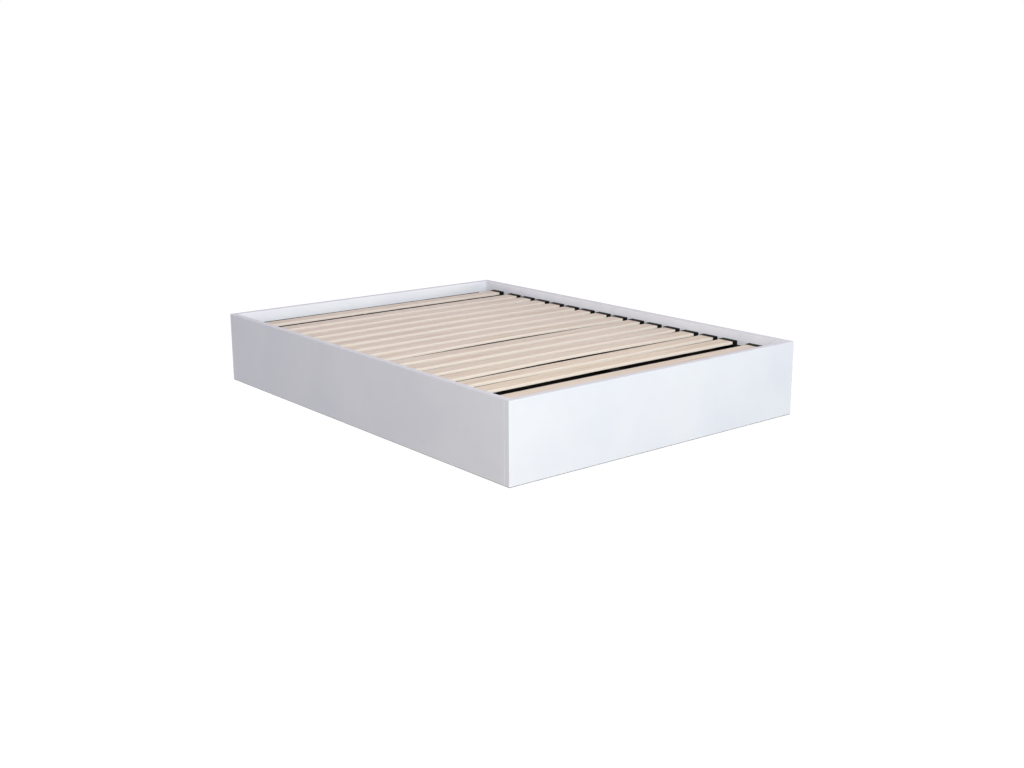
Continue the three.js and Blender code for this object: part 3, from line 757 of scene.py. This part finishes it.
def threadedRod():
    # its radius follows the thread up and round, to a run-out at the collar and a chamfered tip
    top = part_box("foot_stem")[1].z
    start = stem["collarHigh"]
    ringCount = int((top - start) / stem["pitch"] * stem["threadSteps"])
    shape = bmesh.new()
    rings = []
    for i in range(ringCount + 1):
        height = start + (top - start) * i / ringCount
        runOut = min(1, (height - start) / stem["runOut"])
        chamfer = stem["threadRadius"] - stem["tipChamfer"] + (top - height)
        ring = []
        for j in range(stem["steps"]):
            angle = 2 * math.pi * j / stem["steps"]
            fromCrest = abs((height / stem["pitch"] - j / stem["steps"]) % 1 - 0.5)
            crest = min(1, max(0, 1 - (fromCrest - stem["crestHalf"]) / stem["flank"]))
            radius = stem["threadRadius"] - stem["threadDepth"] * (1 - crest) * runOut
            radius = min(radius, chamfer)
            x, y = radius * math.cos(angle), radius * math.sin(angle)
            ring.append(shape.verts.new((x, y, height)))
        rings.append(ring)
    for low, high in zip(rings, rings[1:]):
        for j in range(stem["steps"]):
            k = (j + 1) % stem["steps"]
            shape.faces.new((low[j], low[k], high[k], high[j]))
    shape.faces.new(rings[-1])
    shape.faces.new(list(reversed(rings[0])))
    # it starts a little below the collar's top, so that the two join
    bmesh.ops.transform(shape, matrix=Matrix.Translation((0, 0, -stem["sink"])), verts=shape.verts)
    return shape


def stemMesh():
    low, high, ease = stem["collarLow"], stem["collarHigh"], stem["collarEase"]
    across = stem["collarAcrossFlats"] / 2 / math.cos(math.pi / stem["collarSides"])
    hexagon = turnedShape([(0, low), (across, low), (across, high), (0, high)], stem["collarSides"])
    cone = turnedShape([(0, low), (across - ease, low), (across, low + ease / 2),
                        (across, high - ease / 2), (across - ease, high), (0, high)], stem["steps"])
    collar = joined(meshOf(hexagon, "stem"), [cone], "INTERSECT")
    neckStart = math.degrees(math.acos(stem["neckRadius"] / stem["ballRadius"]))
    ball = [(0, stem["ballHeight"] - stem["ballRadius"])]
    ball += arcPoints((0, stem["ballHeight"]), stem["ballRadius"], stem["ballStart"], neckStart,
                      stem["ballSteps"])
    neck = [(stem["neckRadius"], low + ease), (0, low + ease)]
    return joined(collar, [turnedShape(ball + neck, stem["steps"]), threadedRod()], "UNION")


# Its pad: a moulded foot with a rising top and a boss round the ball's socket
pad = {
    "radius": 24 * mm, "edge": 1.5 * mm, "edgeStart": -70, "edgeSteps": 5,
    "rim": 5 * mm, "rimDrop": 0.48 * mm, "top": 14 * mm, "bossRadius": 10.5 * mm,
    "bossInset": 0.24 * mm, "easeRadius": 1.2 * mm, "easeSteps": 4,
    "mouthRadius": 4.5 * mm, "socketFit": 0.3 * mm, "socketSteps": 14, "steps": 72,
}


def padMesh():
    edge, ease, height = pad["edge"], pad["easeRadius"], stem["ballHeight"]
    slope = math.degrees(math.atan2(pad["top"] - pad["rim"], pad["radius"] - pad["bossRadius"]))
    profile = [(0, 0), (pad["radius"] - edge, 0)]
    profile += arcPoints((pad["radius"] - edge, edge), edge, pad["edgeStart"], 0, pad["edgeSteps"])
    profile += arcPoints((pad["radius"] - ease, pad["rim"] - pad["rimDrop"]), ease,
                         0, 90 - slope, pad["easeSteps"])
    profile += arcPoints((pad["bossRadius"] - pad["bossInset"], pad["top"] - ease), ease,
                         90 - slope, 90, pad["easeSteps"])
    profile.append((pad["mouthRadius"], pad["top"]))
    socket = stem["ballRadius"] + pad["socketFit"]
    mouthAngle = math.degrees(math.acos(pad["mouthRadius"] / socket))
    bowl = arcPoints((0, height), socket, mouthAngle, -90, pad["socketSteps"])
    profile += bowl[:-1] + [(0, height - socket)]
    return meshOf(turnedShape(profile, pad["steps"]), "pad")


newPiece("foot_stem_threaded", smoothed(stemMesh(), sharpAngle=30), "zinc_steel", "stem",
         "foot_stem")
newPiece("foot_pad_moulded", smoothed(padMesh(), sharpAngle=50), "black_moulding", "foot",
         "foot_pad")
print("stage 6: the leg and its levelling foot are made")


# Fasteners: pan head screws with a cross recess, and the cam housings of the side panels
screw = {
    "headRadius": 4.7 * mm, "headHeight": 2.3 * mm, "headSteps": 5, "steps": 20,
    "shankRadius": 2.2 * mm, "shankLength": 5 * mm, "tipShare": 0.6,
    "recessReach": 2.4 * mm, "recessWidth": 0.9 * mm, "recessDepth": 1.5 * mm, "lift": 0.05 * mm,
}
cam = {
    "radius": 7.3 * mm, "height": 11.5 * mm, "chamfer": 0.4 * mm, "steps": 32, "sink": 0.6 * mm,
    "slotReach": 4.6 * mm, "slotWidth": 1.3 * mm, "slotDepth": 2.4 * mm,
}


def crossCut(mesh, reach, width, depth, top):
    # cuts a cross recess into the face at the top of a small turned part
    arm = [(width / 2, reach), (width / 2, width / 2), (reach, width / 2)]
    outline = []
    for turn in range(4):
        outline += arm
        arm = [(z, -x) for x, z in arm]
    cross = prismShape(outline, top - depth, top + depth)
    bmesh.ops.transform(cross, matrix=Matrix.Rotation(math.pi / 2, 4, "X"), verts=cross.verts)
    return joined(mesh, [cross], "DIFFERENCE")


def screwMesh():
    radius, tip, top = screw["shankRadius"], -screw["shankLength"], screw["headHeight"]
    shank = [(0, tip), (radius * screw["tipShare"], tip), (radius, tip + radius), (radius, 0)]
    angles = [math.radians(90 * i / screw["headSteps"]) for i in range(screw["headSteps"])]
    head = [(screw["headRadius"] * math.cos(a), top * math.sin(a)) for a in angles]
    shape = turnedShape(shank + head + [(0, top)], screw["steps"])
    return crossCut(meshOf(shape, "screw"), screw["recessReach"], screw["recessWidth"],
                    screw["recessDepth"], top)


def camMesh():
    radius, chamfer = cam["radius"], cam["chamfer"]
    shape = turnedShape([(0, -cam["height"]), (radius, -cam["height"]), (radius, -chamfer),
                         (radius - chamfer, 0), (0, 0)], cam["steps"])
    return crossCut(meshOf(shape, "cam"), cam["slotReach"], cam["slotWidth"], cam["slotDepth"], 0)


def makeFittingTree():
    # sets one small part on every point of a cloud, its top turned to the point's own direction
    tree = bpy.data.node_groups.new("fittings", "GeometryNodeTree")
    for name, kind in (("Places", "Geometry"), ("Part", "Object"), ("Lift", "Float"),
                       ("Finish", "Material")):
        tree.interface.new_socket(name, in_out="INPUT", socket_type="NodeSocket" + kind)
    tree.interface.new_socket("Geometry", in_out="OUTPUT", socket_type="NodeSocketGeometry")
    given = addNode(tree, "NodeGroupInput").outputs
    facing = addNode(tree, "GeometryNodeInputNamedAttribute", {"Name": "facing"},
                     data_type="FLOAT_VECTOR")
    turned = addNode(tree, "FunctionNodeAlignRotationToVector", {"Vector": facing}, axis="Z")
    raised = addNode(tree, "ShaderNodeVectorMath", {0: facing, "Scale": given["Lift"]},
                     operation="SCALE")
    placed = addNode(tree, "GeometryNodeSetPosition", {
        "Geometry": given["Places"], "Offset": raised})
    part = addNode(tree, "GeometryNodeObjectInfo", {"Object": given["Part"]}).outputs["Geometry"]
    copies = addNode(tree, "GeometryNodeInstanceOnPoints", {
        "Points": placed, "Instance": part, "Rotation": turned})
    real = addNode(tree, "GeometryNodeRealizeInstances", {"Geometry": copies})
    done = addNode(tree, "GeometryNodeSetMaterial", {"Geometry": real, "Material": given["Finish"]})
    addNode(tree, "NodeGroupOutput", {"Geometry": done})
    return tree


fittingTree = makeFittingTree()


def addFittings(name, partMesh, places, lift):
    # places are pairs of a point on the surface and the way the part faces
    points = bpy.data.meshes.new(name + "Points")
    points.from_pydata([place for place, facing in places], [], [])
    facings = points.attributes.new("facing", "FLOAT_VECTOR", "POINT")
    facings.data.foreach_set("vector", [value for place, facing in places for value in facing])
    part = bpy.data.objects.new(name + "Part", partMesh)
    collection.objects.link(part)
    mesh = meshFromTree(fittingTree, name, {
        "Part": part, "Lift": lift, "Finish": materials["zinc_steel"]}, points)
    bpy.data.objects.remove(part)
    newPiece(name, smoothed(mesh), "zinc_steel", "bed_frame")


# Where the screws go: seven through each rail's web and two through each of its end tabs, and four
# pairs through each hanger's strip, at its ends and at both sides of its tray
railScrews = {"inset": 60 * mm, "count": 7, "tabDrop": 12 * mm, "thickness": 3 * mm}
hangerScrews = {"inset": 10 * mm, "thickness": 2.5 * mm, "trayHalf": 27.8 * mm}


def railScrewPlaces():
    places = []
    inset, count, thickness = railScrews["inset"], railScrews["count"], railScrews["thickness"]
    for node, side in (("left_slat_rail", -1), ("right_slat_rail", 1)):
        low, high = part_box(node)
        face = high.x - thickness if side > 0 else low.x + thickness
        height = (low.z + high.z - thickness) / 2
        for i in range(count):
            along = low.y + inset + (high.y - low.y - 2 * inset) * i / (count - 1)
            places.append(((face, along, height), (-side, 0, 0)))
        tabMiddle = (low.x + high.x - side * thickness) / 2
        for end, facing in ((low.y + thickness, 1), (high.y - thickness, -1)):
            for level in (high.z - railScrews["tabDrop"], low.z + railScrews["tabDrop"]):
                places.append(((tabMiddle, end, level), (0, facing, 0)))
    return places


def hangerScrewPlaces():
    places = []
    inset, thickness = hangerScrews["inset"], hangerScrews["thickness"]
    besideTray = hangerScrews["trayHalf"] + inset
    for node, facing in (("head_rail_hanger", -1), ("foot_rail_hanger", 1)):
        low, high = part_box(node)
        face = high.y - thickness if facing < 0 else low.y + thickness
        for x in (low.x + inset, -besideTray, besideTray, high.x - inset):
            places += [((x, face, z), (0, facing, 0)) for z in (low.z + inset, high.z - inset)]
    return places


legScrews = [(place, (0, 0, -1)) for place in legScrewPlaces()]
addFittings("mounting_screws", screwMesh(), railScrewPlaces() + hangerScrewPlaces() + legScrews,
            screw["lift"])
camHousings = [(mouth, (-outward, 0, 0)) for node, outward in panel["outward"].items()
               for mouth in camPlaces(node)]
addFittings("cam_housings", camMesh(), camHousings, -cam["sink"])
print("stage 7: the fasteners are made")


# The steel rails and hangers keep their shape and get the powder coat
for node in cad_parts.values():
    if not node.hide_render:
        for materialSlot in node.material_slots:
            materialSlot.material = materials["black_steel"]
print("stage 8: the steel has its finish")


# The studio: a white room and a white floor as the camera and gloss see them, and soft lamps
studio = {
    "fill": 0.655, "fillColour": "#f2edff",
    "floorHalf": 40.0, "floorColour": "#28282b", "floorRoughness": 0.9, "floorGloss": 0.1,
    # painted shade: the floor inside the bed's box takes the dark under-shade colour
    "underShadeColour": "#151516", "underInset": 12 * mm,
    "nearLift": 0.98, "farLift": 1.0, "nearReach": 2.2, "farReach": 4.5,
}
white = linearColour("#ffffff")


def makeWorld():
    world = bpy.data.worlds.new("studio")
    world.use_nodes = True
    bpy.context.scene.world = world
    tree = world.node_tree
    rays = addNode(tree, "ShaderNodeLightPath").outputs
    seen = addNode(tree, "ShaderNodeMath", {0: rays["Is Camera Ray"], 1: rays["Is Glossy Ray"]},
                   operation="MAXIMUM")
    seen = addNode(tree, "ShaderNodeMath", {0: seen, 1: rays["Is Transmission Ray"]},
                   operation="MAXIMUM")
    colour = addNode(tree, "ShaderNodeMix", {
        "Factor": seen, lowColour: linearColour(studio["fillColour"]), highColour: white},
        data_type="RGBA")
    strength = addNode(tree, "ShaderNodeMapRange", {"Value": seen, "To Min": studio["fill"]})
    setInputs(tree, tree.nodes["Background"], {"Color": colour, "Strength": strength})


def makeFloor():
    half = studio["floorHalf"]
    corners = [(-half, -half, 0), (half, -half, 0), (half, half, 0), (-half, half, 0)]
    mesh = bpy.data.meshes.new("floor")
    mesh.from_pydata(corners, [], [(0, 1, 2, 3)])
    floor = bpy.data.objects.new("floor", mesh)
    collection.objects.link(floor)
    material, tree, shader = newMaterial("pale floor")
    place = addNode(tree, "ShaderNodeTexCoord").outputs["Object"]
    axes = addNode(tree, "ShaderNodeSeparateXYZ", {"Vector": place}).outputs
    # inside the box of panels the floor is painted near black, as painted shade under the bed
    inside = insideWalls(tree, axes, studio["underInset"])
    colour = addNode(tree, "ShaderNodeMix", {
        "Factor": inside, lowColour: linearColour(studio["floorColour"]),
        highColour: linearColour(studio["underShadeColour"])}, data_type="RGBA")
    # outside it the camera and gloss see it as white: nearly all of that is its own lift, and near
    # the bed the lamps give the last of it, so that a faint shadow stays
    rays = addNode(tree, "ShaderNodeLightPath").outputs
    seen = addNode(tree, "ShaderNodeMath", {0: rays["Is Camera Ray"], 1: rays["Is Glossy Ray"]},
                   operation="MAXIMUM")
    outside = addNode(tree, "ShaderNodeMath", {0: 1, 1: inside}, operation="SUBTRACT")
    reach = addNode(tree, "ShaderNodeVectorMath", {0: place}, operation="LENGTH")
    lift = addNode(tree, "ShaderNodeMapRange", {
        "Value": reach, "From Min": studio["nearReach"], "From Max": studio["farReach"],
        "To Min": studio["nearLift"], "To Max": studio["farLift"]})
    for share in (seen, outside):
        lift = addNode(tree, "ShaderNodeMath", {0: lift, 1: share}, operation="MULTIPLY")
    setInputs(tree, shader, {
        "Base Color": colour, "Roughness": studio["floorRoughness"],
        "Specular IOR Level": studio["floorGloss"], "Emission Color": white,
        "Emission Strength": lift})
    mesh.materials.append(material)


# The lamps: a large key high before the bed and a small one at its left, for the sides that the
# photograph shows, and a low one each for the right side and the head
lamps = {
    "key": {"place": (0.4, -6.0, 3.3), "target": (0, 0, 0.15), "size": (4.6, 2.4),
            "power": 175, "colour": "#f2feff"},
    "side": {"place": (-3.4, -4.2, 2.0), "target": (-0.5, -0.7, 0.2), "size": (2.4, 1.6),
             "power": 121, "colour": "#fffeec"},
    "right": {"place": (6.0, -1.6, 0.9), "target": (0.7, 0, 0.2), "size": (3.0, 1.0),
              "power": 90, "colour": "#ffffff"},
    "back": {"place": (-1.8, 6.3, 0.9), "target": (0, 1.0, 0.2), "size": (3.0, 1.0),
             "power": 90, "colour": "#ffffff"},
}


def addLamp(name, place, target, size, power, colour):
    # a soft rectangle of light that the camera doesn't see
    data = bpy.data.lights.new(name, "AREA")
    data.shape = "RECTANGLE"
    data.size, data.size_y = size
    data.energy = power
    data.color = linearColour(colour)[:3]
    lamp = bpy.data.objects.new(name, data)
    collection.objects.link(lamp)
    lamp.visible_camera = False
    lamp.location = place
    lamp.rotation_euler = (Vector(target) - Vector(place)).to_track_quat("-Z", "Y").to_euler()


makeWorld()
makeFloor()
for name, settings in lamps.items():
    addLamp(name, **settings)


# The camera stands where the photograph's camera stood
view = {"place": (-3.2078, -4.0948, 1.3481), "azimuth": 38.82, "elevation": 14.0, "roll": -0.27,
        "lens": 44.33, "sensor": 36}
cameraData = bpy.data.cameras.new("camera")
cameraData.lens = view["lens"]
cameraData.sensor_width = view["sensor"]
camera = bpy.data.objects.new("camera", cameraData)
collection.objects.link(camera)
camera.location = view["place"]
aim = Euler((math.radians(90 - view["elevation"]), 0, math.radians(-view["azimuth"]))).to_matrix()
camera.rotation_euler = (aim @ Matrix.Rotation(math.radians(view["roll"]), 3, "Z")).to_euler()
bpy.context.scene.camera = camera
bpy.context.scene.view_settings.view_transform = "Standard"
print("stage 9: the studio and the camera are set")
